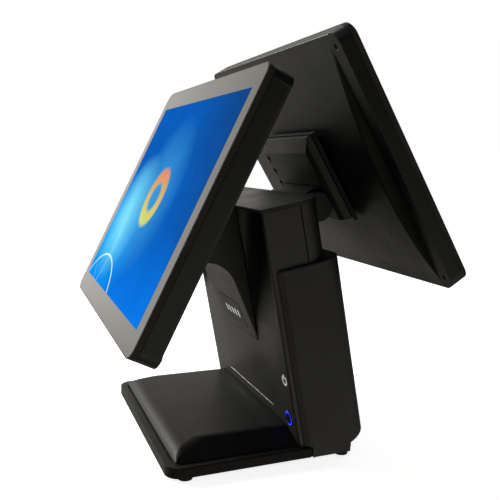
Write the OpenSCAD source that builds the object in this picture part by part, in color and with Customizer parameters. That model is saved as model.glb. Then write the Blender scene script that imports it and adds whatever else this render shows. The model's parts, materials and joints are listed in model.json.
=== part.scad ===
// Dual-screen POS touchscreen terminal: base, leaning column, operator display and customer display.
// Axes: X across the screens, the operator stands at -Y, the customer at +Y, Z up, table at Z = 0.

/* [Base] */
// overall width of the base
base_w = 257; // [200:1:320]
// front edge of the base along Y
base_front = -125.8; // [-160:0.1:-100]
// where the base rim stops and the rear cover takes over
base_rim_end = 22.7; // [10:0.1:50]
// height of the rubber feet
foot_h = 3; // [2:0.5:6]
// height of the vertical edge of the rim
rim_h = 10.6; // [6:0.2:16]
// height of the flat top of the base above the base bottom
plateau_h = 25; // [18:0.5:35]
// distance from the side edge to the flat top
side_slope = 31; // [10:1:50]
// distance from the front edge to the flat top
front_slope = 35; // [15:1:60]
// corner radius of the base seen from above
base_corner = 16; // [5:0.5:30]
// thickness of the moulded covers
wall = 3; // [2:0.2:5]

/* [Column] */
// angle the column leans towards the operator
lean = 10.8; // [0:0.1:20]
// front face of the column at the base bottom, along Y
column_front = 11.8; // [0:0.1:40]
// width of the column
column_w = 248; // [200:1:260]
// length of the column along its lean
column_len = 253.6; // [200:0.2:300]
// depth of the upper column
column_d = 64.5; // [50:0.5:80]
// depth of the side shell, up to the seam with the rear cap
shell_d = 40; // [30:0.5:50]
// length of the rear cover along the lean
sleeve_len = 192.6; // [150:0.2:220]
// depth of the column at the rear cover
sleeve_d = 78.5; // [70:0.5:100]
// radius of the rear upright corners
sleeve_corner = 25; // [5:1:35]
// depth of the scoop beside the neck at the column top
scoop_d = 27; // [10:1:30]
// thickness of the top plate
top_t = 3; // [2:0.5:6]

/* [Neck] */
// width of the neck that carries the operator display
neck_w = 110; // [80:1:140]
// radius of the neck where it holds the hinge shaft
neck_barrel = 15.8; // [12:0.2:20]

/* [Displays] */
// width of the operator display
main_w = 341; // [300:1:400]
// height of the operator display
main_h = 276; // [230:1:320]
// tilt of the operator display from upright
main_tilt = 26.4; // [0:0.2:45]
// width of the customer display
guest_w = 340; // [300:1:400]
// height of the customer display
guest_h = 274; // [230:1:320]
// tilt of the customer display from upright
guest_tilt = 31.2; // [0:0.2:45]
// corner radius of both displays
screen_corner = 13; // [4:0.5:20]
// width of the lit picture of both panels
picture_w = 304.1; // [250:0.1:350]
// height of the lit picture of both panels
picture_h = 228.1; // [180:0.1:260]
// depth of the operator housing at its edges
main_d = 26; // [20:0.5:35]
// depth of the customer display at its rim
guest_d = 20; // [15:0.5:30]
// extra depth of the crowned customer back cover
ridge_h = 8; // [4:0.5:16]

/* [Power button] */
// position of the button across the column
button_x = 107.7; // [90:0.1:112]
// position of the button up the column
button_s = 36.7; // [30:0.1:80]
// outer radius of the lit ring
ring_r = 7.3; // [5:0.1:9]

/* [Hidden] */
$fn = 48;
gap = 0.3; // clear space between two bodies
base_z = foot_h;
rim_w = 7.5; // width of the flat rim around the base
groove_w = 1.6; // groove between rim and raised cover
base_rear = 66; // rear end of the base at the table
skirt_h = 10; // height of the upright skirt at the rear
rear_slope = 24; // slope of the underside that rises behind the skirt
base_screw_x = [-95, 95];
base_screw_y = [base_front + 24.5, base_front + 116.5];
foot_r = 7;
foot_x = [-base_w / 2 + foot_r + 0.5, base_w / 2 - foot_r - 0.5];
foot_y = [base_front + 18.5, base_rear - foot_r - 0.5];
screen_z = 257.3; // height of the centre of the operator glass
main_y = -107.8; // centre of the operator glass along Y
guest_y = 98.1; // centre of the customer glass along Y
guest_z = 301.8; // height of the centre of the customer glass
main_axis_d = 51.9; // operator hinge axis behind the glass
main_axis_up = -28.1; // and up from the glass centre
guest_axis_d = 60.7; // customer hinge axis behind the glass
guest_axis_up = -25.3; // and up from the glass centre
shaft_r = 4;
hinge_bore = shaft_r + 0.05;
barrel_r = 16; // radius of the customer hinge barrels
lug_x = neck_w / 2 + 2; // inner face of the lugs on the operator display
lug_t = 3.5;
guest_arm_w = 84;
cheek_x = 44; // inner face of the cheeks that hold the customer display
cheek_t = 11;
frame_d = 6; // depth of the frames around both glasses
glass_t = 3;
cover_screw_x = [-90, 90];
cover_screw_s = 168; // height of the rear cover screws up the column
bracket_up = -60; // lower end of the bracket on the customer display
crown_up = -25; // height where the customer back cover is deepest
back_top = 126; // top and bottom of the raised part of that cover
back_bottom = -129;
crown_steps = 24; // facets along the crowned back
mount_screw_xz = [for (x = [-45, 45], z = [-46, -10]) [x, z]];
bracket_screw_xz = [for (x = [-37.5, 37.5], z = [25, 95]) [x, z]];
board_d = 15.5; // depth of the driver boards behind the glass

// ---------- placing helpers ----------

// column frame: Y is depth behind the front face, Z runs up the leaning column
module in_column() {
  translate([0, column_front, base_z]) rotate([lean, 0, 0]) children();
}

// operator display frame: Y is depth behind the glass, Z runs up the glass
module in_main() {
  translate([0, main_y, screen_z]) rotate([-main_tilt, 0, 0]) children();
}

// customer display frame: Y is depth behind the glass, Z runs up the glass
module in_guest() {
  translate([0, guest_y, guest_z]) rotate([guest_tilt, 0, 0]) rotate([0, 0, 180]) children();
}

// bracket frame on the crown of the customer back cover
module on_guest_back() {
  translate([0, guest_d + ridge_h, bracket_up]) children();
}

// ---------- shape helpers ----------

module rounded_rect(w, h, r) {
  translate([-w / 2 + r, -h / 2]) square([w - 2 * r, h]);
  translate([-w / 2, -h / 2 + r]) square([w, h - 2 * r]);
  for (x = [-1, 1], y = [-1, 1]) translate([x * (w / 2 - r), y * (h / 2 - r)]) circle(r);
}

// upright slab of a display: rounded in the XZ plane, from depth y0 to y1
module slab(w, h, r, y0, y1) {
  translate([0, y1, 0]) rotate([90, 0, 0]) linear_extrude(y1 - y0) rounded_rect(w, h, r);
}

// box centred on X, from depth y0 to y1 and height z0 to z1
module block(w, y0, y1, z0, z1) {
  translate([-w / 2, y0, z0]) cube([w, y1 - y0, z1 - z0]);
}

// rod along X centred on the given point
module rod(r, x0, x1, y, z) {
  translate([x0, y, z]) rotate([0, 90, 0]) cylinder(r = r, h = x1 - x0);
}

// plan outline with two rounded corners at the rear
module rear_rounded(w, d, r) {
  translate([-w / 2, 0]) square([w, d - r]);
  translate([-w / 2 + r, 0]) square([w - 2 * r, d]);
  for (x = [-1, 1]) translate([x * (w / 2 - r), d - r]) circle(r);
}

// ---------- base ----------

// side view of the raised part of the base cover, shrunk by s
module base_side_profile(s) {
  y0 = base_front + rim_w + groove_w;
  polygon([
    [y0 + s, base_z], [y0 + s, base_z + rim_h + 1 - s], [y0 + 6 + s, base_z + plateau_h - 5.5 - s],
    [base_front + front_slope + s, base_z + plateau_h - s], [base_rim_end + 60, base_z + plateau_h - s],
    [base_rim_end + 60, base_z]
  ]);
}

// front view of the raised part of the base cover, shrunk by s
module base_front_profile(s) {
  x0 = base_w / 2 - rim_w;
  x1 = base_w / 2 - side_slope;
  polygon([
    [-x0 + s, base_z], [x0 - s, base_z], [x0 - s, base_z + rim_h + 1 - s],
    [x1 - s, base_z + plateau_h - s], [-x1 + s, base_z + plateau_h - s], [-x0 + s, base_z + rim_h + 1 - s]
  ]);
}

// raised part of the base cover, shrunk by s
module base_raised(s = 0) {
  intersection() {
    translate([-base_w / 2, 0, 0]) rotate([90, 0, 90]) linear_extrude(base_w) base_side_profile(s);
    translate([0, base_rim_end + 30, 0]) rotate([90, 0, 0]) linear_extrude(200) base_front_profile(s);
    base_outline(rim_w + s, 0, base_z + plateau_h + 1, base_rim_end + 1);
  }
}

// plan outline of the base inset by s, square at the rear end
module base_outline(s, z0, z1, y_end) {
  len = y_end - base_front - s;
  r = base_corner - s / 2;
  translate([0, base_front + s, z0]) linear_extrude(z1 - z0) {
    translate([-base_w / 2 + s, r]) square([base_w - 2 * s, len - r]);
    translate([-base_w / 2 + s + r, 0]) square([base_w - 2 * s - 2 * r, len]);
    for (x = [-1, 1]) translate([x * (base_w / 2 - s - r), r]) circle(r);
  }
}

module base_plate() {
  color("dimgray") difference() {
    union() {
      base_outline(wall + gap, base_z, base_z + 2, base_rim_end - 1);
      block(column_w - 16, base_rim_end - 10, base_rear - 5, base_z, base_z + 2);
    }
    base_screw_rods(2.2, -1, 10);
  }
}

module base_cover() {
  color("dimgray") difference() {
    union() {
      difference() {
        base_outline(0, base_z, base_z + rim_h, base_rim_end);
        translate([0, 0, base_z + rim_h - 1.5]) difference() {
          base_outline(rim_w, 0, 5, base_rim_end + 1);
          base_outline(rim_w + groove_w, -1, 6, base_rim_end + 2);
        }
      }
      base_raised();
    }
    translate([0, 0, -0.01]) base_outline(wall, base_z, base_z + 2.2, base_rim_end + 1);
    difference() {
      base_raised(wall);
      base_screw_rods(5, base_z + 2.2, 60);
    }
    base_screw_rods(1.6, base_z, base_z + 14);
    block(column_w - 30, column_front + 2, base_rim_end + 2, base_z - 1, base_z + plateau_h + 5);
  }
}

module base_screw_rods(r, z0, z1) {
  for (x = base_screw_x, y = base_screw_y) translate([x, y, z0]) cylinder(r = r, h = z1 - z0);
}

module base_weight() {
  color("gray") block(150, base_front + 25, base_front + 115, base_z + 2.2, base_z + 16);
}

module base_feet() {
  color("black") for (x = foot_x, y = foot_y) translate([x, y, 0]) difference() {
    cylinder(r = foot_r, h = foot_h);
    translate([0, 0, -0.01]) cylinder(r = 2.5, h = 1);
  }
}

module base_screws() {
  color("silver") for (x = base_screw_x, y = base_screw_y) translate([x, y, base_z - 1.6]) difference() {
    union() {
      cylinder(r = 3.4, h = 1.6);
      cylinder(r = 1.5, h = 13);
    }
    translate([-2.2, -0.4, -0.01]) cube([4.4, 0.8, 0.8]);
    translate([-0.4, -2.2, -0.01]) cube([0.8, 4.4, 0.8]);
  }
}

// ---------- column ----------

// slanted cutter that forms the scoop on each side of the neck, grown by s
module scoop(s = 0) {
  dive = atan(scoop_d / 120);
  for (side = [-1, 1]) intersection() {
    translate([0, 0, 130]) rotate([-dive, 0, 0]) translate([0, -30 + s, 0])
      linear_extrude(140) rounded_rect(column_w - 8 + 2 * s, 60, 12 + s);
    if (side > 0) translate([neck_w / 2 - s, -60, 90]) cube([120, 120, 200]);
    if (side < 0) translate([-neck_w / 2 + s - 120, -60, 90]) cube([120, 120, 200]);
  }
}

module column_shell() {
  color("dimgray") difference() {
    in_column() difference() {
      shell_outer();
      difference() {
        block(column_w - 2 * wall, wall, shell_d + 1, -10, column_len - top_t + 1);
        scoop(wall);
        button_posts();
      }
      scoop();
      block(72, -1, wall + 1, 135, 244);
      translate([button_x, -1, button_s]) rotate([-90, 0, 0]) cylinder(r = ring_r + 1.2, h = 10);
    }
    foot_cut(0.2);
  }
}

module shell_outer() {
  linear_extrude(column_len - top_t - 0.1) {
    translate([-column_w / 2 + 3, 0]) square([column_w - 6, shell_d]);
    translate([-column_w / 2, 3]) square([column_w, shell_d - 3]);
    for (x = [-1, 1]) translate([x * (column_w / 2 - 3), 3]) circle(3);
  }
}

// everything the base cover occupies, lifted by c
module foot_cut(c) {
  translate([0, 0, c]) base_raised();
  translate([0, 0, -60]) block(400, -200, 200, 0, 60 + base_z + 2.2);
  block(base_w + 2, base_front, base_rim_end + gap, 0, base_z + rim_h + c);
}

module column_chassis() {
  color("silver") difference() {
    union() {
      in_column() {
        block(120, 46, 48, -8, 245);
        for (x = [-1, 1]) translate([x * 59, 0, 0]) block(2, 35, 46, 45, 245);
        block(120, 35, 48, 243, 245);
      }
      block(120, base_rear - 36, base_rear - 4.6, base_z + 2.2, base_z + 4.2);
    }
    translate([0, 0, -40]) block(400, -200, 200, 0, 40 + base_z + 2.2);
    in_column() block(50, 40, 60, 60, 200);
  }
}

module top_plate() {
  color("dimgray") in_column() translate([0, 0, column_len - top_t])
    linear_extrude(top_t) translate([0, -1]) rear_rounded(column_w, column_d + 1, 20);
}

module rear_cap() {
  color("dimgray") in_column() difference() {
    translate([0, 0, 150]) linear_extrude(column_len - top_t - 0.1 - 150) difference() {
      rear_rounded(column_w, column_d, 22);
      rear_rounded(column_w - 2 * wall, column_d - wall, 19);
      translate([-column_w, -1]) square([2 * column_w, shell_d + 1.5]);
    }
    for (x = [-1, 1]) translate([x * (cheek_x + cheek_t / 2), 0, 0]) block(cheek_t + 1, 50, 80, 218, 244);
    for (x = cover_screw_x) translate([x, column_d - 8, cover_screw_s]) rotate([-90, 0, 0])
      cylinder(r = 1.6, h = 20);
  }
}

// plan of the rear cover: chamfered at the front, rounded at the rear
module sleeve_plan(w, d, r, lip) {
  translate([-w / 2, lip + 7.3]) square([w, d - r - lip - 7.3]);
  translate([-w / 2 + r, lip + 7.3]) square([w - 2 * r, d - lip - 7.3]);
  for (x = [-1, 1]) translate([x * (w / 2 - r), d - r]) circle(r);
  polygon([[-w / 2 + 4.5, lip], [w / 2 - 4.5, lip], [w / 2, lip + 7.3], [-w / 2, lip + 7.3]]);
}

// space under the overhanging rear, behind the skirt, moved inwards by s
module rear_underside(s = 0) {
  intersection() {
    translate([0, base_rear, base_z + skirt_h]) rotate([rear_slope, 0, 0]) block(400, -40, 80, -60, s);
    block(400, base_rear - s, 300, -60, 200);
  }
}

module rear_cover() {
  color("dimgray") difference() {
    in_column() translate([0, 0, -40]) linear_extrude(40 + sleeve_len)
      sleeve_plan(base_w, sleeve_d, sleeve_corner, 4.2);
    // inside: open to the column all the way up, wider below the top ledge
    difference() {
      in_column() translate([0, 0, -41]) {
        linear_extrude(60 + sleeve_len) rear_rounded(column_w + 2 * gap, column_d + gap, 22);
        linear_extrude(38 + sleeve_len)
          rear_rounded(column_w + 2 * gap, sleeve_d - wall, sleeve_corner - wall);
      }
      rear_underside(wall);
    }
    rear_underside();
    block(400, -200, 300, -60, base_z);
    block(400, -200, base_rim_end + gap, -60, base_z + rim_h + 0.2);
    // cable outlet
    block(64, base_rear - 20, 140, -1, base_z + 16);
    in_column() for (x = cover_screw_x) translate([x, column_d - 2, cover_screw_s]) rotate([-90, 0, 0])
      cylinder(r = 1.7, h = 20);
  }
  // bosses that reach the rear cap
  color("dimgray") in_column() for (x = cover_screw_x) translate([x, 0, cover_screw_s]) rotate([-90, 0, 0])
    tube(5, 1.7, column_d + gap, sleeve_d - wall + 0.1);
}

module rear_cover_screws() {
  color("silver") in_column() for (x = cover_screw_x) translate([x, sleeve_d + 1.4, cover_screw_s])
    rotate([90, 0, 0]) difference() {
      union() {
        cylinder(r = 3, h = 1.3);
        cylinder(r = 1.5, h = 20);
      }
      translate([-2, -0.4, -0.01]) cube([4, 0.8, 0.8]);
      translate([-0.4, -2, -0.01]) cube([0.8, 4, 0.8]);
    }
}

// ---------- neck ----------

// position of the operator hinge axis in the YZ plane
axis_y = main_y + main_axis_d * cos(main_tilt) + main_axis_up * sin(main_tilt);
axis_z = screen_z - main_axis_d * sin(main_tilt) + main_axis_up * cos(main_tilt);
fillet_r = 35;
fillet_y = axis_y + 5.6;
fillet_z = axis_z - neck_barrel - fillet_r;

// tip of the neck, where its lower face meets the column front
tip_s = 105; // height of the tip up the column
tip_y = column_front - tip_s * sin(lean);
tip_z = base_z + tip_s * cos(lean);
face_angle = 23.1; // lean of the lower face from upright

// side view of the neck, shrunk by s
module neck_profile(s = 0) {
  shift = s / cos(face_angle);
  overlap = 3;
  reach = sqrt(pow(neck_barrel - s, 2) - pow(overlap, 2));
  difference() {
    polygon([
      [tip_y + shift, tip_z],
      [fillet_y + (fillet_r + s) * cos(face_angle), fillet_z + (fillet_r + s) * sin(face_angle)],
      [fillet_y, fillet_z + fillet_r / 2],
      [fillet_y, axis_z - neck_barrel + s], [axis_y - overlap, axis_z - reach],
      [axis_y - overlap, axis_z + reach], [axis_y + 36, base_z + 245.6 - s],
      [tip_y + 50, base_z + 245.6 - s], [tip_y + 50, tip_z]
    ]);
    translate([fillet_y, fillet_z]) circle(fillet_r + s);
  }
}

// solid neck of width w, shrunk by s
module neck_solid(w, s = 0) {
  translate([-w / 2, 0, 0]) rotate([90, 0, 90]) linear_extrude(w) neck_profile(s);
  rod(neck_barrel - s, -w / 2, w / 2, axis_y, axis_z);
}

module neck_shell() {
  color("dimgray") difference() {
    intersection() {
      neck_solid(neck_w);
      in_column() block(neck_w + 2, -200, -0.1, 90, 300);
    }
    neck_solid(neck_w - 2 * wall, wall);
    rod(hinge_bore, -neck_w, neck_w, axis_y, axis_z);
    label_pocket(0.2);
  }
}

module neck_spine() {
  color("silver") difference() {
    union() {
      for (x = [-1, 1]) translate([x * 33, 0, 0]) {
        rod(10, -1.5, 1.5, axis_y, axis_z);
        intersection() {
          rotate([90, 0, 90]) translate([0, 0, -1.5]) linear_extrude(3) polygon([
            [axis_y - 2, axis_z - 9], [axis_y + 40, axis_z - 9],
            [axis_y + 70, axis_z - 30], [axis_y + 90, axis_z - 30],
            [axis_y + 90, axis_z + 28], [axis_y + 40, axis_z + 28], [axis_y - 2, axis_z + 9.8]
          ]);
          in_column() block(20, -200, 45.9, 90, 300);
        }
      }
      in_column() block(69, 43, 45.9, 185, 232);
    }
    rod(hinge_bore, -neck_w, neck_w, axis_y, axis_z);
  }
}

// lower face of the neck: Z runs up the face from the tip, Y into the neck
module on_neck_face() {
  translate([0, tip_y, tip_z]) rotate([face_angle, 0, 0]) children();
}

module label_pocket(s) {
  on_neck_face() block(64 + s, -2, 0.6 + s / 2, 9 - s / 2, 41 + s / 2);
}

module label_plate() {
  color("gray") on_neck_face() block(64, -0.2, 0.6, 9, 41);
}

module trim_line() {
  color("silver") in_column() block(138, -0.5, -0.05, 36, 37);
}

// ---------- power button ----------

module at_button() {
  in_column() translate([button_x, 0, button_s]) rotate([-90, 0, 0]) children();
}

// ring of revolution between two radii
module tube(ro, ri, z0, z1) {
  translate([0, 0, z0]) difference() {
    cylinder(r = ro, h = z1 - z0);
    translate([0, 0, -1]) cylinder(r = ri, h = z1 - z0 + 2);
  }
}

module power_bezel() {
  color("black") at_button() tube(ring_r + 1.1, ring_r + 0.1, -0.5, 7);
}

module light_ring() {
  color("blue") at_button() tube(ring_r, ring_r - 1.1, -0.3, 6);
}

module power_cap() {
  color("black") at_button() {
    translate([0, 0, -0.8]) cylinder(r = ring_r - 1.5, h = 5.8);
    translate([0, 0, 4.9]) cylinder(r = 2, h = 3.6);
  }
}

// posts inside the column shell that hold the button board
module button_posts() {
  translate([button_x, wall - 0.1, button_s]) rotate([-90, 0, 0])
    for (y = [-12.5, 12.5]) translate([0, y, 0]) cylinder(r = 2, h = 12 - wall);
}

module power_board() {
  color("green") at_button() {
    translate([-8, -15, 12]) cube([16, 30, 1.6]);
    translate([-3, -3, 10.1]) cube([6, 6, 2]);
  }
}

// ---------- computer inside the column ----------

module computer_board() {
  color("green") in_column() {
    block(114, 40.2, 41.8, 50, 170);
    translate([-42, 0, 0]) block(18, 34, 40.2, 70, 140);
    translate([42, 0, 0]) block(16, 36, 40.2, 60, 150);
  }
}

module heat_sink() {
  color("silver") in_column() {
    block(50, 35, 40, 70, 140);
    for (i = [-4:4]) translate([i * 6, 0, 0]) block(1.6, 16, 35.1, 70, 140);
  }
}

module board_standoffs() {
  color("gold") in_column() for (x = [-52, 52], s = [55, 165]) translate([x, 41.9, s])
    rotate([-90, 0, 0]) cylinder(r = 2.5, h = 4);
}

module port_panel() {
  color("silver") in_column() {
    difference() {
      block(110, 52, 53.5, 45, 95);
      ports(0.2, 50, 60);
    }
    for (x = [-1, 1]) translate([x * 54, 0, 0]) block(2, 48.1, 52, 45, 95);
  }
}

// row of connector bodies, grown by s
module ports(s, y0, y1) {
  for (x = [-42, -24, -6]) translate([x, 0, 0]) block(14 + s, y0, y1, 60 - s / 2, 74 + s / 2);
  translate([14, 0, 0]) block(16 + s, y0, y1, 60 - s / 2, 73 + s / 2);
  translate([38, y0, 67]) rotate([-90, 0, 0]) cylinder(r = 5 + s / 2, h = y1 - y0);
}

module port_sockets() {
  color("silver") in_column() difference() {
    ports(0, 48.4, 56);
    for (x = [-42, -24, -6]) translate([x, 0, 0]) block(12, 50, 57, 64, 70);
    translate([14, 0, 0]) block(12, 50, 57, 63, 71);
    translate([38, 50, 67]) rotate([-90, 0, 0]) tube(3.8, 1, 0, 8);
  }
}

// ---------- hinges ----------

module main_shaft() {
  color("silver") {
    rod(shaft_r, -lug_x - lug_t - 5, lug_x + lug_t + 5, axis_y, axis_z);
    for (x = [-1, 1]) translate([x * (lug_x + lug_t + 2.6), 0, 0]) rod(7, -1.8, 1.8, axis_y, axis_z);
  }
}

module main_washers() {
  color("gray") for (x = [-1, 1]) translate([x * (neck_w / 2 + 0.85), axis_y, axis_z])
    rotate([0, 90, 0]) tube(9, hinge_bore, -0.75, 0.75);
}

// position of the customer hinge axis in the YZ plane
guest_axis_y = guest_y - guest_axis_d * cos(guest_tilt) - guest_axis_up * sin(guest_tilt);
guest_axis_z = guest_z - guest_axis_d * sin(guest_tilt) + guest_axis_up * cos(guest_tilt);

module guest_cheeks() {
  color("dimgray") difference() {
    union() {
      for (x = [-1, 1]) translate([x * (cheek_x + cheek_t / 2), 0, 0]) {
        rod(barrel_r, -cheek_t / 2, cheek_t / 2, guest_axis_y, guest_axis_z);
        in_column() block(cheek_t, 48.2, 92, 219, 243);
      }
      in_column() block(2 * cheek_x + 2 * cheek_t, 48.2, 51.5, 219, 243);
    }
    rod(hinge_bore, -cheek_x - cheek_t + 3, cheek_x + cheek_t - 3, guest_axis_y, guest_axis_z);
  }
}

module guest_shaft() {
  color("silver")
    rod(shaft_r, -cheek_x - cheek_t + 3.2, cheek_x + cheek_t - 3.2, guest_axis_y, guest_axis_z);
}

module guest_washers() {
  color("gray") for (x = [-1, 1]) translate([x * (cheek_x - 0.8), guest_axis_y, guest_axis_z])
    rotate([0, 90, 0]) tube(10, hinge_bore, -0.7, 0.7);
}

// ---------- displays, shared pieces ----------

module glass(w, h) {
  color("black") slab(w - 2, h - 2, screen_corner - 1, 0, glass_t);
}

module panel() {
  color("blue") slab(picture_w + 20, picture_h + 18, 2, glass_t + 0.1, 13);
}

module frame(w, h) {
  color("black") difference() {
    slab(w, h, screen_corner, 0.3, frame_d);
    slab(w - 1.8, h - 1.8, screen_corner - 0.9, -1, glass_t + 0.1);
    slab(picture_w + 20.6, picture_h + 18.6, 2.3, -1, frame_d + 1);
  }
}

// cross-head screw along Y with its head facing away from the glass
module back_screw(x, y, z, shank) {
  translate([x, y, z]) rotate([90, 0, 0]) difference() {
    union() {
      cylinder(r = 2.6, h = 1.4);
      cylinder(r = 1.4, h = shank);
    }
    translate([-1.7, -0.35, -0.01]) cube([3.4, 0.7, 0.7]);
    translate([-0.35, -1.7, -0.01]) cube([0.7, 3.4, 0.7]);
  }
}

// counterbored hole for a back screw whose head top sits at depth y
module back_screw_hole(x, y, z) {
  translate([x, y + 2, z]) rotate([90, 0, 0]) {
    cylinder(r = 2.9, h = 3.5);
    cylinder(r = 1.5, h = 12);
  }
}

// ---------- operator display ----------

main_screw_xz = [for (x = [-150, 150], z = [-110, 0, 110]) [x, z]];

module main_housing() {
  color("dimgray") in_main() difference() {
    slab(main_w, main_h, screen_corner, frame_d + gap, main_d);
    slab(main_w - 2 * wall, main_h - 2 * wall, screen_corner - wall, -1, main_d - 7);
    difference() {
      slab(main_w - 24, main_h - 24, 4, -1, main_d - 2.5);
      for (p = main_screw_xz) translate([p[0], 14, p[1]]) rotate([-90, 0, 0]) cylinder(r = 4, h = 12);
    }
    for (p = main_screw_xz) back_screw_hole(p[0], main_d - 0.6, p[1]);
    // vents
    for (i = [-7:7]) translate([i * 12, 0, 0]) block(4, main_d - 5, main_d + 1, -108, -84);
    mount_screw_holes();
  }
}

// holes for the four screws that hold the hinge lugs
module mount_screw_holes() {
  for (p = mount_screw_xz) translate([p[0], 0, p[1]]) rotate([-90, 0, 0]) cylinder(r = 2.1, h = 60);
}

module main_board() {
  color("green") in_main() {
    block(150, board_d, board_d + 1.5, -62, -2);
    translate([-30, 0, 0]) block(34, board_d + 1.5, 19.5, -48, -22);
    translate([40, 0, 0]) block(24, board_d + 1.5, 22, -40, -20);
  }
}

module main_mount() {
  color("silver") in_main() difference() {
    union() {
      block(2 * (lug_x + lug_t), main_d + 0.2, main_d + 2.7, -58, 2);
      for (x = [-1, 1]) translate([x * (lug_x + lug_t / 2), 0, 0]) {
        block(lug_t, main_d + 0.2, main_axis_d, main_axis_up - 10, main_axis_up + 10);
        rod(10, -lug_t / 2, lug_t / 2, main_axis_d, main_axis_up);
      }
    }
    rod(hinge_bore, -90, 90, main_axis_d, main_axis_up);
    mount_screw_holes();
  }
}

module main_screws() {
  color("silver") in_main() {
    for (p = main_screw_xz) back_screw(p[0], main_d - 0.6, p[1], 9);
    for (p = mount_screw_xz) translate([p[0], main_d + 4.2, p[1]]) rotate([90, 0, 0]) {
      cylinder(r = 3.6, h = 1.4);
      cylinder(r = 2, h = 8);
    }
  }
}

// ---------- customer display ----------

guest_screw_xz = [for (x = [-161, 161], z = [-123, -37, 37, 123]) [x, z]];

// height of the crown above the rim at height u
function crown(u) =
  let (reach = u > crown_up ? back_top - crown_up : crown_up - back_bottom)
  ridge_h * (1 - pow((u - crown_up) / reach, 2));

// crowned cover: side view
module hip_side(s) {
  step = (back_top - back_bottom) / crown_steps;
  polygon(concat(
    [[0, back_bottom + s], [guest_d - s, back_bottom + s]],
    [for (i = [1:crown_steps - 1]) let (u = back_bottom + step * i) [guest_d - s + crown(u), u]],
    [[guest_d - s, back_top - s], [0, back_top - s]]
  ));
}

// raised part of the customer back cover, shrunk by s
module guest_hip(s = 0) {
  intersection() {
    translate([-guest_w / 2, 0, 0]) rotate([90, 0, 90]) linear_extrude(guest_w) hip_side(s);
    translate([0, 0, -guest_h / 2]) linear_extrude(guest_h) polygon([
      [-153 + s, 0], [153 - s, 0], [153 - s, guest_d - s], [143 - s, guest_d + ridge_h - s],
      [-143 + s, guest_d + ridge_h - s], [-153 + s, guest_d - s]
    ]);
  }
}

module guest_back() {
  color("dimgray") in_guest() difference() {
    union() {
      slab(guest_w, guest_h, screen_corner, frame_d + 0.1, guest_d);
      guest_hip();
    }
    slab(guest_w - 2 * wall, guest_h - 2 * wall, screen_corner - wall, -1, guest_d - 7);
    slab(292, 240, 3, -1, guest_d - 2.5);
    guest_hip(2.5);
    for (p = guest_screw_xz) back_screw_hole(p[0], guest_d - 0.8, p[1]);
    on_guest_back() bracket_screw_holes();
  }
}

module guest_board() {
  color("green") in_guest() {
    block(120, board_d, board_d + 1.5, -70, 20);
    translate([-25, 0, 0]) block(30, board_d + 1.5, 19, -50, -20);
  }
}

// holes for the four screws that hold the bracket
module bracket_screw_holes() {
  for (p = bracket_screw_xz) translate([p[0], -20, p[1]]) rotate([-90, 0, 0]) cylinder(r = 2.1, h = 60);
}

module guest_mount() {
  color("silver") in_guest() on_guest_back() difference() {
    union() {
      block(96, 0.2, 2.4, 6, 104);
      block(130, 2.4, 7, 2, 109);
    }
    bracket_screw_holes();
  }
}

// bracket cover: chamfered box
module bracket_box(s = 0) {
  intersection() {
    translate([-70, 0, 0]) rotate([90, 0, 90]) linear_extrude(140) polygon([
      [7.2, 5 + s], [19 - s, 9 + s], [19 - s, 93 - s], [12 - s, 108 - s], [7.2, 108 - s]
    ]);
    linear_extrude(120) polygon([
      [-64 + s, 7.2], [64 - s, 7.2], [61 - s, 15 - s], [57 - s, 19 - s],
      [-57 + s, 19 - s], [-61 + s, 15 - s]
    ]);
  }
}

module guest_bracket() {
  color("dimgray") in_guest() difference() {
    on_guest_back() difference() {
      bracket_box();
      translate([0, -0.4, 0]) bracket_box(2.4);
      // small cable hooks near the far edge
      for (i = [0:2]) translate([51, 0, 85 - 16.5 * i]) {
        block(9, 14, 25, 0, 2.4);
        block(2.4, 14, 25, -5, 5);
      }
    }
    rod(barrel_r + 0.6, -cheek_x - cheek_t - 2.4, cheek_x + cheek_t + 2.4, guest_axis_d, guest_axis_up);
    arm_block(0.2);
  }
}

module arm_block(s = 0) {
  block(guest_arm_w + 2 * s, 37.4 - s, guest_axis_d, guest_axis_up - 10 - s, guest_axis_up + 17.3 + s);
}

module guest_arm() {
  color("dimgray") in_guest() difference() {
    union() {
      rod(barrel_r, -guest_arm_w / 2, guest_arm_w / 2, guest_axis_d, guest_axis_up);
      arm_block();
    }
    rod(hinge_bore, -90, 90, guest_axis_d, guest_axis_up);
  }
}

module guest_screws() {
  color("silver") in_guest() {
    for (p = guest_screw_xz) back_screw(p[0], guest_d - 0.8, p[1], 5.5);
    on_guest_back() for (p = bracket_screw_xz) translate([p[0], 8.6, p[1]]) rotate([90, 0, 0]) {
      cylinder(r = 3.4, h = 1.5);
      cylinder(r = 2, h = 11);
    }
  }
}

base_plate();
base_cover();
base_weight();
base_feet();
base_screws();
column_shell();
column_chassis();
top_plate();
rear_cap();
rear_cover();
rear_cover_screws();
neck_shell();
neck_spine();
label_plate();
trim_line();
power_bezel();
light_ring();
power_board();
power_cap();
computer_board();
heat_sink();
board_standoffs();
port_panel();
port_sockets();
main_shaft();
main_washers();
guest_cheeks();
guest_shaft();
guest_washers();
in_main() glass(main_w, main_h);  // main_glass
in_main() panel();  // main_panel
in_main() frame(main_w, main_h);  // main_frame
main_housing();
main_board();
main_mount();
main_screws();
in_guest() glass(guest_w, guest_h);  // guest_glass
in_guest() panel();  // guest_panel
in_guest() frame(guest_w, guest_h);  // guest_frame
guest_back();
guest_board();
guest_mount();
guest_bracket();
guest_arm();
guest_screws();
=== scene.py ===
"""Looks of the dual-screen POS terminal.

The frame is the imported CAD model's: metres, +Z up, operator at -Y.
"""

import json
import math

import bmesh
import bpy
from mathutils import Matrix, Vector

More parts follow.
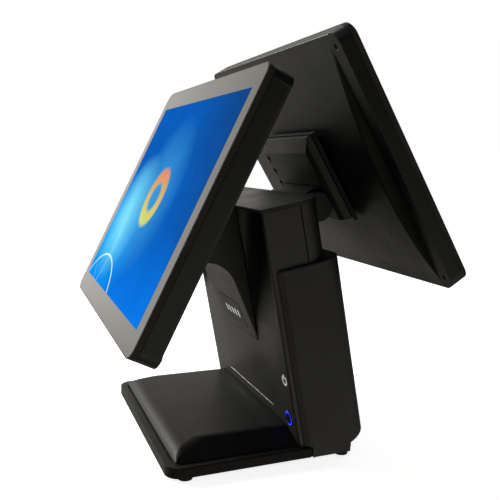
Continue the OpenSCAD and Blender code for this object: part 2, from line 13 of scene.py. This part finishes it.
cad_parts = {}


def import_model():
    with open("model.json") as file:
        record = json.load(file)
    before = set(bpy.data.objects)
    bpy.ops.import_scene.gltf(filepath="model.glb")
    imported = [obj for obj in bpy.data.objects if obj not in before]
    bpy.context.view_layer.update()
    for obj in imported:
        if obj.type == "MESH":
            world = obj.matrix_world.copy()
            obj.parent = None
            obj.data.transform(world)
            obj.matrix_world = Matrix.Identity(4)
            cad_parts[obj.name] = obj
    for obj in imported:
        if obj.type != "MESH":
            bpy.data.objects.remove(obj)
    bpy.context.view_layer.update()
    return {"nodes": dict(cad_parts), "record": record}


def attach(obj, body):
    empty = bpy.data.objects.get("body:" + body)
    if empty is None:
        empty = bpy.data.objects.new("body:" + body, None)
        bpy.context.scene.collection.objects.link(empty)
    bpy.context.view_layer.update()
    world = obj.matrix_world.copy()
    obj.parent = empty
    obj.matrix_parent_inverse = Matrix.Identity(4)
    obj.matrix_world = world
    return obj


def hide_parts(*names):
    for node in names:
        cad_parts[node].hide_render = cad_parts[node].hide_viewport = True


MM = 0.001

# Placing of the tilted parts, the same as in the CAD
LEAN = math.radians(10.8)
MAIN_TILT = math.radians(26.4)
GUEST_TILT = math.radians(31.2)
COLUMN_FRONT = (0, 11.8 * MM, 3 * MM)
MAIN_CENTRE = (0, -107.8 * MM, 257.3 * MM)
GUEST_CENTRE = (0, 98.1 * MM, 301.8 * MM)
NECK_TIP = (0, -7.88 * MM, 106.14 * MM)
NECK_FACE_ANGLE = math.radians(23.1)
PICTURE = (304.1 * MM, 228.1 * MM)

# Marks on the neck plate and the power sign beside the button
MARK_SIZE = (4.6 * MM, 9 * MM)
MARK_CORNER = 1.4 * MM
MARK_PITCH = 9.5 * MM
MARK_HEIGHT = 25 * MM
MARKS = 5
SIGN_PLACE = (112.5 * MM, 0, 79.5 * MM)
SIGN_RADIUS = 4.6 * MM
SIGN_WIDTH = 2.2 * MM
SIGN_BAR = 6.4 * MM

# Which CAD edges are rounded: at least this long and this sharp, with both faces larger than this
MIN_EDGE = 3 * MM
MIN_EDGE_ANGLE = math.radians(28)
MIN_FACE_AREA = 12e-6

# Camera fitted to the edges of the displays, column and base
CAMERA_POS = (0.6867, -0.2643, 0.29865)
CAMERA_YAW = math.radians(68.82)
CAMERA_PITCH = math.radians(7.87)
CAMERA_ROLL = math.radians(-0.83)
LENS = 47.3


# ---------- node graphs ----------


class Graph:
    """A material under construction. Sockets take a number, a colour or another socket."""

    def __init__(self, name):
        self.material = bpy.data.materials.new(name)
        self.material.use_nodes = True
        self.tree = self.material.node_tree
        self.tree.nodes.clear()
        self.coords = self.node("ShaderNodeTexCoord").outputs["Object"]

    def node(self, kind, inputs=None, **settings):
        made = self.tree.nodes.new(kind)
        for key, value in settings.items():
            setattr(made, key, value)
        for key, value in (inputs or {}).items():
            self.feed(made.inputs[key], value)
        return made

    def feed(self, socket, value):
        if isinstance(value, bpy.types.NodeSocket):
            self.tree.links.new(value, socket)
        else:
            socket.default_value = value

    def noise(self, size, detail=2.0, stretch=(1, 1, 1)):
        """Noise from 0 to 1 whose features are about size metres."""
        scaled = self.node("ShaderNodeMapping", {"Vector": self.coords, "Scale": stretch})
        made = self.node(
            "ShaderNodeTexNoise",
            {"Vector": scaled.outputs["Vector"], "Scale": 1 / size, "Detail": detail, "Roughness": 0.55},
        )
        return made.outputs["Fac"]

    def ramp(self, value, start, end, low=0.0, high=1.0):
        """Straight line from (start, low) to (end, high), held outside."""
        made = self.node("ShaderNodeMapRange", {"Value": value, "From Min": start, "From Max": end})
        made.inputs["To Min"].default_value = low
        made.inputs["To Max"].default_value = high
        return made.outputs["Result"]

    def math(self, operation, a, b=0.0):
        return self.node("ShaderNodeMath", {0: a, 1: b}, operation=operation).outputs[0]

    def mix(self, amount, a, b):
        made = self.node("ShaderNodeMix", {"Factor": amount}, data_type="RGBA")
        self.feed(made.inputs[6], a)
        self.feed(made.inputs[7], b)
        return made.outputs[2]

    def band(self, value, centre, width):
        """1 where value is within width of centre, falling softly to 0."""
        away = self.math("ABSOLUTE", self.math("SUBTRACT", value, centre))
        return self.ramp(away, width * 0.5, width, 1.0, 0.0)

    def edge(self, radius):
        """Normal rounded over edges, and a mask that is 1 on the edges."""
        bevel = self.node("ShaderNodeBevel", {"Radius": radius}, samples=6).outputs["Normal"]
        flat = self.node("ShaderNodeNewGeometry").outputs["Normal"]
        dot = self.node("ShaderNodeVectorMath", {0: bevel, 1: flat}, operation="DOT_PRODUCT").outputs["Value"]
        return bevel, self.ramp(dot, 0.995, 0.9)

    def bump(self, height, distance, strength, normal=None):
        made = self.node("ShaderNodeBump", {"Height": height, "Distance": distance, "Strength": strength})
        if normal is not None:
            self.feed(made.inputs["Normal"], normal)
        return made.outputs["Normal"]

    def finish(self, inputs):
        shader = self.node("ShaderNodeBsdfPrincipled", inputs)
        self.node("ShaderNodeOutputMaterial", {"Surface": shader.outputs["BSDF"]})
        return self.material


def grey(value, warmth=0.0):
    return (value * (1 + warmth), value, value * (1 - warmth), 1)


def moulded(
    name, tone, roughness, grain=0.5 * MM, depth=0.5, specular=0.35, radius=0.8 * MM, warmth=0.04, wear_and_highlight=2.4
):
    """Moulded plastic: fine spark texture, slow changes of sheen, edges lighter than the body: partly wear,
    partly a painted highlight.
    """
    g = Graph(name)
    slow = g.noise(60 * MM, 3)
    spots = g.noise(4 * MM, 4)
    fine = g.noise(grain, 3)
    normal, edges = g.edge(radius)
    body = g.mix(g.ramp(slow, 0.3, 0.7), grey(tone * 0.8, warmth), grey(tone * 1.25, warmth))
    # Lighter edges, patchy: partly wear, partly a painted highlight where the rounded edges would catch the
    # light.
    worn_and_highlit = g.math("MULTIPLY", edges, g.ramp(spots, 0.35, 0.65, 0.2, 0.8))
    colour = g.mix(worn_and_highlit, body, grey(tone * wear_and_highlight + 0.006, warmth))
    sheen = g.math("ADD", g.ramp(slow, 0.3, 0.7, -0.05, 0.05), g.ramp(spots, 0.3, 0.7, -0.03, 0.03))
    rough = g.math("ADD", sheen, roughness)
    return g.finish(
        {
            "Base Color": colour,
            "Roughness": rough,
            "Specular IOR Level": specular,
            "Normal": g.bump(fine, grain * 0.2, depth, normal),
        }
    )


def brushed(name, tone, roughness, metallic=1.0, along=(1, 30, 30)):
    """Sheet or turned metal with fine lines along one axis."""
    g = Graph(name)
    lines = g.noise(12 * MM, 3, along)
    blotch = g.noise(25 * MM, 3)
    normal, edges = g.edge(0.4 * MM)
    colour = g.mix(g.ramp(blotch, 0.3, 0.7), grey(tone * 0.85, 0.01), grey(tone, 0.01))
    colour = g.mix(g.math("MULTIPLY", edges, 0.6), colour, grey(min(tone * 1.3, 0.9)))
    rough = g.math("ADD", g.ramp(lines, 0.3, 0.7, -0.06, 0.08), roughness)
    return g.finish(
        {
            "Base Color": colour,
            "Metallic": metallic,
            "Roughness": rough,
            "Normal": g.bump(lines, 0.05 * MM, 0.25, normal),
        }
    )


def powder_coat(name, tone):
    """Black coated steel with a slight orange peel."""
    g = Graph(name)
    peel = g.noise(1.2 * MM, 2)
    blotch = g.noise(30 * MM, 3)
    normal, edges = g.edge(0.5 * MM)
    colour = g.mix(g.ramp(blotch, 0.3, 0.7), grey(tone * 0.8), grey(tone * 1.2))
    colour = g.mix(g.math("MULTIPLY", edges, 0.4), colour, grey(tone * 4))
    return g.finish(
        {
            "Base Color": colour,
            "Roughness": g.ramp(blotch, 0.3, 0.7, 0.36, 0.48),
            "Specular IOR Level": 0.45,
            "Normal": g.bump(peel, 0.15 * MM, 0.3, normal),
        }
    )


def black_glass(name):
    """Cover glass with its black print behind it; a trace of smears shows in the gloss."""
    g = Graph(name)
    smear = g.noise(35 * MM, 4, (1, 1, 3))
    dust = g.noise(1.5 * MM, 2)
    colour = g.mix(g.ramp(dust, 0.72, 0.8), grey(0.006), grey(0.02))
    return g.finish(
        {
            "Base Color": colour,
            "Roughness": g.ramp(smear, 0.35, 0.7, 0.03, 0.1),
            "Specular IOR Level": 0.5,
            "IOR": 1.52,
            "Normal": g.bump(smear, 0.02 * MM, 0.05),
        }
    )


def rubber(name):
    """Dull black rubber, slightly dusty."""
    g = Graph(name)
    fine = g.noise(0.8 * MM, 3)
    normal, _ = g.edge(0.5 * MM)
    colour = g.mix(g.ramp(fine, 0.4, 0.7), grey(0.012), grey(0.03))
    return g.finish({"Base Color": colour, "Roughness": 0.85, "Normal": g.bump(fine, 0.2 * MM, 0.4, normal)})


def circuit_board(name):
    """Green board with paler tracks and pads."""
    g = Graph(name)
    cells = g.node("ShaderNodeTexVoronoi", {"Vector": g.coords, "Scale": 260.0}, distance="MANHATTAN")
    tracks = g.ramp(cells.outputs["Distance"], 0.28, 0.34)
    colour = g.mix(tracks, (0.012, 0.10, 0.04, 1), (0.03, 0.2, 0.08, 1))
    pads = g.ramp(g.noise(2.5 * MM, 1), 0.68, 0.72)
    colour = g.mix(pads, colour, (0.45, 0.4, 0.3, 1))
    rough = g.ramp(tracks, 0, 1, 0.35, 0.5)
    return g.finish({"Base Color": colour, "Roughness": rough, "Normal": g.bump(tracks, 0.1 * MM, 0.4)})


def cast(name):
    """Rough cast iron."""
    g = Graph(name)
    lumps = g.noise(3 * MM, 4)
    colour = g.mix(g.ramp(lumps, 0.3, 0.7), grey(0.06), grey(0.14))
    normal = g.bump(lumps, 0.6 * MM, 0.6)
    return g.finish({"Base Color": colour, "Metallic": 0.6, "Roughness": 0.7, "Normal": normal})


def printed(name, tone, glow):
    """White print on the black plastic, a little uneven. The glow stands for its shine in a bright shop."""
    g = Graph(name)
    patchy = g.noise(1.5 * MM, 3)
    colour = g.mix(g.ramp(patchy, 0.3, 0.7), grey(tone * 0.75), grey(tone))
    rough = g.ramp(patchy, 0.3, 0.7, 0.4, 0.6)
    return g.finish(
        {"Base Color": colour, "Emission Color": colour, "Emission Strength": glow, "Roughness": rough}
    )


def lit_ring(name):
    """Lit blue light guide, a little uneven."""
    g = Graph(name)
    cloud = g.noise(2 * MM, 2)
    colour = g.mix(g.ramp(cloud, 0.3, 0.7), (0.0, 0.004, 0.7, 1), (0.005, 0.03, 1.0, 1))
    return g.finish(
        {
            "Base Color": (0.01, 0.02, 0.2, 1),
            "Emission Color": colour,
            "Emission Strength": 4.0,
            "Roughness": 0.3,
        }
    )


def wallpaper(name, strength):
    """Lit picture: deep blue with a pale glow from the lower left, thin arcs and a plain amber ring."""
    g = Graph(name)
    split = g.node("ShaderNodeSeparateXYZ", {"Vector": g.coords})
    u = g.math("DIVIDE", split.outputs["X"], PICTURE[0] / 2)
    v = g.math("DIVIDE", split.outputs["Z"], PICTURE[1] / 2)

    def distance(cu, cv, su=1.0, sv=1.0):
        du = g.math("DIVIDE", g.math("SUBTRACT", u, cu), su)
        dv = g.math("DIVIDE", g.math("SUBTRACT", v, cv), sv)
        return g.math("SQRT", g.math("ADD", g.math("MULTIPLY", du, du), g.math("MULTIPLY", dv, dv)))

    deep, mid, low = (0.004, 0.06, 0.25, 1), (0.001, 0.11, 0.5, 1), (0.001, 0.19, 0.82, 1)
    bright, cyan, white = (0.003, 0.37, 0.96, 1), (0.24, 0.84, 1.0, 1), (0.8, 1.0, 1.0, 1)
    across = g.math("ADD", u, g.math("MULTIPLY", v, 0.6))
    colour = g.mix(g.ramp(across, 0.5, 1.5), mid, deep)
    colour = g.mix(g.ramp(v, -0.2, -1.0), colour, low)
    colour = g.mix(g.ramp(distance(-0.75, -0.5, 0.9, 0.9), 1.0, 0.25), colour, bright)
    colour = g.mix(g.ramp(distance(-0.55, -0.25, 0.45, 0.65), 1.1, 0.1, 0.0, 0.95), colour, cyan)
    for cu, cv, radius, width, amount in (
        (-0.52, -1.20, 0.50, 0.014, 0.9),
        (-1.55, -0.60, 1.05, 0.009, 0.35),
        (0.05, -0.10, 1.15, 0.008, 0.25),
    ):
        arc = g.band(distance(cu, cv), radius, width)
        near = g.ramp(distance(-0.4, -0.85), 1.0, 0.3, 0.0, amount)
        colour = g.mix(g.math("MULTIPLY", arc, near), colour, white)
    glow = g.ramp(distance(-0.05, 0.0, 0.6, 0.85), 1.0, 0.1, 0.0, 0.7)
    colour = g.mix(glow, colour, (0.06, 0.42, 0.8, 1))
    ring_colour = g.mix(g.ramp(v, -0.25, 0.25), (0.75, 0.78, 0.08, 1), (0.9, 0.3, 0.05, 1))
    ring = g.math("MULTIPLY", g.band(distance(0.0, 0.0, 0.75, 1.0), 0.22, 0.1), 0.85)
    colour = g.mix(ring, colour, ring_colour)
    speck = g.ramp(g.noise(40 * MM, 2), 0.3, 0.7, 0.93, 1.05)
    return g.finish(
        {
            "Base Color": (0.002, 0.002, 0.002, 1),
            "Roughness": 0.3,
            "Specular IOR Level": 0.0,
            "Emission Color": colour,
            "Emission Strength": g.math("MULTIPLY", speck, strength),
        }
    )


# ---------- geometry ----------


def from_bmesh(name, mesh_data, matrix=None):
    mesh = bpy.data.meshes.new(name)
    mesh_data.to_mesh(mesh)
    mesh_data.free()
    piece = bpy.data.objects.new(name, mesh)
    bpy.context.scene.collection.objects.link(piece)
    if matrix is not None:
        piece.matrix_world = matrix
    return piece


def tilted(origin, angle, turn=0.0):
    """Local frame whose Y is depth behind a face and Z runs up it."""
    return Matrix.Translation(origin) @ Matrix.Rotation(angle, 4, "X") @ Matrix.Rotation(turn, 4, "Z")


MAIN_FRAME = tilted(MAIN_CENTRE, -MAIN_TILT)
GUEST_FRAME = tilted(GUEST_CENTRE, GUEST_TILT, math.pi)
COLUMN_FRAME = tilted(COLUMN_FRONT, LEAN)
NECK_FRAME = tilted(NECK_TIP, NECK_FACE_ANGLE)


def is_slope(face):
    """Neither upright nor flat."""
    return 0.2 < face.normal.z < 0.98


def rounded_copy(node, radius, body, material, crease=0.0, segments=3):
    """Copy of a CAD solid with its longer outer edges rounded for real; it stands for that node.

    Edges where two slopes meet take the radius crease instead, where it is the larger one.
    """
    widest = max(radius, crease)
    solid = bmesh.new()
    solid.from_mesh(frame["nodes"][node].data)
    bmesh.ops.remove_doubles(solid, verts=solid.verts, dist=0.002 * MM)
    bmesh.ops.dissolve_limit(solid, angle_limit=math.radians(0.6), verts=solid.verts, edges=solid.edges)
    weight = solid.edges.layers.float.new("bevel_weight_edge")
    for edge in solid.edges:
        if len(edge.link_faces) != 2 or edge.calc_length() < MIN_EDGE:
            continue
        if edge.calc_face_angle_signed() < MIN_EDGE_ANGLE:
            continue
        if min(face.calc_area() for face in edge.link_faces) > MIN_FACE_AREA:
            edge[weight] = 1.0 if crease and all(map(is_slope, edge.link_faces)) else radius / widest
    piece = from_bmesh(node + "_soft", solid)
    bevel = piece.modifiers.new("Edges", "BEVEL")
    bevel.limit_method = "WEIGHT"
    bevel.width = widest
    bevel.segments = segments
    bevel.use_clamp_overlap = False
    normals = piece.modifiers.new("Normals", "WEIGHTED_NORMAL")
    normals.keep_sharp = True
    for polygon in piece.data.polygons:
        polygon.use_smooth = True
    piece.data.set_sharp_from_angle(angle=math.radians(35))
    piece.data.materials.append(material)
    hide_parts(node)
    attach(piece, body)


def thin_sheet(name, width, height, corner, depth, thickness, matrix, material):
    """Thin sheet with rounded corners, in the XZ plane of a tilted frame."""
    sheet = bmesh.new()
    steps = 8
    outline = []
    for cx, cz, start in ((1, 1, 0), (-1, 1, 90), (-1, -1, 180), (1, -1, 270)):
        for i in range(steps + 1):
            angle = math.radians(start + 90 * i / steps)
            x = cx * (width / 2 - corner) + corner * math.cos(angle)
            z = cz * (height / 2 - corner) + corner * math.sin(angle)
            outline.append(sheet.verts.new((x, depth + thickness, z)))
    face = sheet.faces.new(outline)
    grown = bmesh.ops.extrude_face_region(sheet, geom=[face])
    moved = [v for v in grown["geom"] if isinstance(v, bmesh.types.BMVert)]
    bmesh.ops.translate(sheet, verts=moved, vec=(0, -thickness, 0))
    bmesh.ops.recalc_face_normals(sheet, faces=sheet.faces)
    piece = from_bmesh(name, sheet, matrix)
    piece.data.materials.append(material)
    return piece


def ring_mark(name, radius, width, gap, bar, matrix, material):
    """Flat power sign: an open ring and a bar, standing a hair proud of the face."""
    sign = bmesh.new()
    steps = 40
    proud = -0.12 * MM
    half_gap = gap / 2
    rows = []
    for i in range(steps + 1):
        angle = math.pi / 2 + half_gap + (2 * math.pi - gap) * i / steps
        rows.append([
            sign.verts.new((r * math.cos(angle), proud, r * math.sin(angle)))
            for r in (radius - width / 2, radius + width / 2)
        ])
    for a, b in zip(rows, rows[1:]):
        sign.faces.new((a[0], a[1], b[1], b[0]))
    corners = [(-width / 2, radius * 0.25), (width / 2, radius * 0.25), (width / 2, bar), (-width / 2, bar)]
    sign.faces.new([sign.verts.new((x, proud, z)) for x, z in corners])
    grown = bmesh.ops.extrude_face_region(sign, geom=sign.faces[:])
    moved = [v for v in grown["geom"] if isinstance(v, bmesh.types.BMVert)]
    bmesh.ops.translate(sign, verts=moved, vec=(0, 0.1 * MM, 0))
    bmesh.ops.recalc_face_normals(sign, faces=sign.faces)
    piece = from_bmesh(name, sign, matrix)
    piece.data.materials.append(material)
    return piece


# ---------- the model ----------

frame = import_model()

case = moulded("case_plastic", 0.013, 0.48, specular=0.64, warmth=0.08)
base_case = moulded("base_plastic", 0.018, 0.42, specular=0.08, warmth=0.06)
# The sleeve's edges are made much lighter: mostly a painted highlight along its top ledges, a little wear.
sleeve_case = moulded("sleeve_plastic", 0.011, 0.50, specular=0.5, warmth=0.08, wear_and_highlight=9)
top_case = moulded("top_plastic", 0.012, 0.46, specular=0.4, warmth=0.08)
housing = moulded("housing_plastic", 0.009, 0.42, grain=0.35 * MM, depth=0.35, specular=0.42, warmth=0.02)
back_cover = moulded("back_cover_plastic", 0.011, 0.44, specular=0.3, warmth=0.06)
# The frame's paler tone with little specular stands in for the sheen on its narrow rim: painted sheen.
thin_frame = moulded("frame_plastic", 0.034, 0.6, depth=0.35, specular=0.12, radius=0.15 * MM, wear_and_highlight=1)
glossy = moulded("glossy_plastic", 0.008, 0.18, grain=0.6 * MM, depth=0.08, specular=0.5)
materials = {
    "case": case,
    "housing": housing,
    "screen_glass": black_glass("cover_glass"),
    "lcd": moulded("panel_frame", 0.05, 0.4),
    "frame": thin_frame,
    "steel": brushed("zinc_steel", 0.55, 0.38),
    "painted_steel": powder_coat("coated_steel", 0.012),
    "shaft_steel": brushed("ground_steel", 0.6, 0.2),
    "screw_black": brushed("oxide_steel", 0.05, 0.35, metallic=0.8, along=(1, 1, 1)),
    "rubber": rubber("foot_rubber"),
    "label": moulded("label_film", 0.010, 0.46, depth=0.2, specular=0.32, radius=0.2 * MM),
    "trim": brushed("trim_metal", 0.7, 0.25),
    "ring": lit_ring("ring_light"),
    "button": glossy,
    "board": circuit_board("board_green"),
    "connector": moulded("connector_plastic", 0.01, 0.35),
    "weight": cast("cast_weight"),
    "brass": brushed("brass", 0.5, 0.3),
    "sink": brushed("sink_aluminium", 0.7, 0.35),
    "washer": moulded("washer_plastic", 0.02, 0.35),
}
slots = {part["node"]: part["material_slot"] for part in frame["record"]["subparts"]}
for name, node in frame["nodes"].items():
    if not node.material_slots:
        node.data.materials.append(None)
    for slot in node.material_slots:
        slot.material = materials[slots[name]]

rounded_copy("base_cover", 1.8 * MM, "stand", base_case, crease=6 * MM, segments=4)
for node, radius, body, material in (
    ("column_shell", 0.6 * MM, "stand", case),
    ("top_plate", 0.6 * MM, "stand", top_case),
    ("rear_cap", 0.8 * MM, "stand", case),
    ("rear_cover", 1.2 * MM, "stand", sleeve_case),
    ("neck_shell", 1.0 * MM, "stand", case),
    ("main_housing", 3.0 * MM, "main_display", housing),
    ("guest_back", 1.5 * MM, "customer_display", back_cover),
    ("guest_bracket", 1.0 * MM, "customer_display", back_cover),
):
    rounded_copy(node, radius, body, material)

picture = wallpaper("lit_picture", 1.0)
for name, matrix, body in (
    ("main_picture", MAIN_FRAME, "main_display"),
    ("guest_picture", GUEST_FRAME, "customer_display"),
):
    sheet = thin_sheet(name, *PICTURE, 0.6 * MM, -0.08 * MM, 0.05 * MM, matrix, picture)
    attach(sheet, body)

white_print = printed("white_print", 0.95, 0.35)
for i in range(MARKS):
    across = (i - (MARKS - 1) / 2) * MARK_PITCH
    place = NECK_FRAME @ Matrix.Translation((across, 0, MARK_HEIGHT))
    mark = thin_sheet(
        f"label_mark_{i}", *MARK_SIZE, MARK_CORNER, -0.3 * MM, 0.1 * MM, place, white_print
    )
    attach(mark, "stand")
sign = ring_mark(
    "power_sign", SIGN_RADIUS, SIGN_WIDTH, math.radians(70), SIGN_BAR,
    COLUMN_FRAME @ Matrix.Translation(SIGN_PLACE), white_print,
)
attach(sign, "stand")


# ---------- studio ----------


def floor():
    """White paper floor, seen by the camera but not by the object's own shading."""
    bpy.ops.mesh.primitive_plane_add(size=14, location=(0, 0, 0))
    plane = bpy.context.object
    plane.name = "floor"
    g = Graph("floor_paper")
    cloud = g.noise(0.4, 2)
    colour = g.mix(cloud, grey(0.8), grey(0.84))
    paper = g.finish(
        {
            "Base Color": colour,
            "Roughness": 0.9,
            "Specular IOR Level": 0.1,
            "Emission Color": (1, 1, 1, 1),
            "Emission Strength": 0.86,
        }
    )
    plane.data.materials.append(paper)
    plane.visible_diffuse = False
    plane.visible_glossy = False


def area_light(name, position, target, size, energy):
    light = bpy.data.lights.new(name, "AREA")
    light.shape = "DISK"
    light.size = size
    light.energy = energy
    holder = bpy.data.objects.new(name, light)
    holder.location = position
    away = Vector(position) - Vector(target)
    holder.rotation_euler = away.to_track_quat("Z", "Y").to_euler()
    bpy.context.scene.collection.objects.link(holder)


def world():
    """Pale room: a bright low band on the far and operator's sides, and a pale table towards the camera."""
    made = bpy.data.worlds.new("studio")
    bpy.context.scene.world = made
    made.use_nodes = True
    tree = made.node_tree
    tree.nodes.clear()
    direction = tree.nodes.new("ShaderNodeTexCoord").outputs["Generated"]

    def along(axis, start, end, low, high):
        dot = tree.nodes.new("ShaderNodeVectorMath")
        dot.operation = "DOT_PRODUCT"
        dot.inputs[1].default_value = axis
        tree.links.new(direction, dot.inputs[0])
        spread = tree.nodes.new("ShaderNodeMapRange")
        spread.interpolation_type = "SMOOTHSTEP"
        for key, value in (("From Min", start), ("From Max", end), ("To Min", low), ("To Max", high)):
            spread.inputs[key].default_value = value
        tree.links.new(dot.outputs["Value"], spread.inputs["Value"])
        return spread.outputs["Result"]

    def combine(operation, a, b):
        made = tree.nodes.new("ShaderNodeMath")
        made.operation = operation
        tree.links.new(a, made.inputs[0])
        tree.links.new(b, made.inputs[1])
        return made.outputs[0]

    far_side = Vector((-0.94, -0.34, 0))
    side = along(far_side, -0.2, 0.9, 0.03, 1.0)
    height = along((0, 0, 1), 0.0, 0.9, 1.25, 0.3)
    ground = along((0, 0, 1), -0.12, 0.0, 0.36, 1.0)
    band = combine("MULTIPLY", combine("MULTIPLY", side, height), ground)
    near = along(-far_side, -0.1, 0.8, 0.0, 1.0)
    table = combine("MULTIPLY", near, along((0, 0, -1), -0.1, 0.3, 0.0, 0.55))
    strength = combine("ADD", band, table)
    room = tree.nodes.new("ShaderNodeBackground")
    room.inputs["Color"].default_value = (1.0, 0.965, 0.89, 1)
    backdrop = tree.nodes.new("ShaderNodeBackground")
    backdrop.inputs["Color"].default_value = (1, 1, 1, 1)
    seen = tree.nodes.new("ShaderNodeLightPath")
    choose = tree.nodes.new("ShaderNodeMixShader")
    output = tree.nodes.new("ShaderNodeOutputWorld")
    tree.links.new(strength, room.inputs["Strength"])
    tree.links.new(seen.outputs["Is Camera Ray"], choose.inputs[0])
    tree.links.new(room.outputs[0], choose.inputs[1])
    tree.links.new(backdrop.outputs[0], choose.inputs[2])
    tree.links.new(choose.outputs[0], output.inputs["Surface"])


def camera():
    yaw, pitch, roll = CAMERA_YAW, CAMERA_PITCH, CAMERA_ROLL
    forward = Vector((-math.sin(yaw) * math.cos(pitch), math.cos(yaw) * math.cos(pitch), -math.sin(pitch)))
    right = Vector((math.cos(yaw), math.sin(yaw), 0))
    up = right.cross(forward)
    x_axis = right * math.cos(roll) - up * math.sin(roll)
    y_axis = up * math.cos(roll) + right * math.sin(roll)
    turn = Matrix((x_axis, y_axis, -forward)).transposed()
    lens = bpy.data.cameras.new("camera")
    lens.sensor_width = 36
    lens.lens = LENS
    lens.clip_start = 0.01
    holder = bpy.data.objects.new("camera", lens)
    holder.matrix_world = Matrix.Translation(CAMERA_POS) @ turn.to_4x4()
    bpy.context.scene.collection.objects.link(holder)
    bpy.context.scene.camera = holder


floor()
world()
area_light("key", (-1.3, -1.2, 0.85), (0, 0, 0.15), 0.7, 38)
area_light("top", (-0.5, 0.1, 1.5), (0, 0, 0.2), 0.6, 2.5)
area_light("edge", (0.8, -0.1, 1.5), (0, 0, 0.15), 0.5, 1)
area_light("back", (-0.6, 1.4, 0.9), (0, 0.05, 0.25), 0.8, 3)
camera()
bpy.context.scene.view_settings.view_transform = "Standard"
